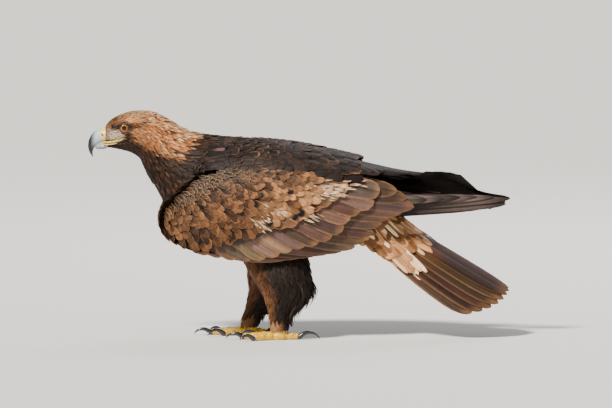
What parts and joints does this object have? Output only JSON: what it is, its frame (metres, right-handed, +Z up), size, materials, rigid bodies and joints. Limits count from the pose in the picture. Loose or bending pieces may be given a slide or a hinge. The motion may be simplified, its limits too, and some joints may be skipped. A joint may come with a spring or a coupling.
{
  "type": "golden eagle model",
  "caption": "Life-size still model of a golden eagle standing with folded, half lowered wings, golden hackles and a hooked bill.",
  "frame": {"origin": "centre of the bottom of the bounding box, on the floor between the feet and the tail", "axes": "-X towards the bill, -Y towards the bird's left side, +Z up"},
  "size_m": [0.7362, 0.2222, 0.3966],
  "materials": {
    "plumage": "dark brown feathers",
    "hackles": "golden lance-shaped feathers",
    "wing_feathers": "brown feathers with pale edges",
    "shank_feathers": "short tan feathers",
    "horn": "smooth horn",
    "bare_skin": "yellow scaly skin",
    "eye": "wet, glossy"
  },
  "bodies": {
    "root": {"head": "plumage", "torso": "plumage", "thigh_left": "plumage", "thigh_right": "plumage", "tail": "plumage", "neck": "hackles", "wing_left": "wing_feathers", "wing_right": "wing_feathers", "shank_left": "shank_feathers", "shank_right": "shank_feathers", "bill_upper": "horn", "bill_lower": "horn", "claw_left_inner": "horn", "claw_left_middle": "horn", "claw_left_outer": "horn", "claw_left_hind": "horn", "claw_right_inner": "horn", "claw_right_middle": "horn", "claw_right_outer": "horn", "claw_right_hind": "horn", "foot_left": "bare_skin", "foot_right": "bare_skin", "cere": "bare_skin", "eye_left": "eye", "eye_right": "eye"}
  },
  "joints": []
}
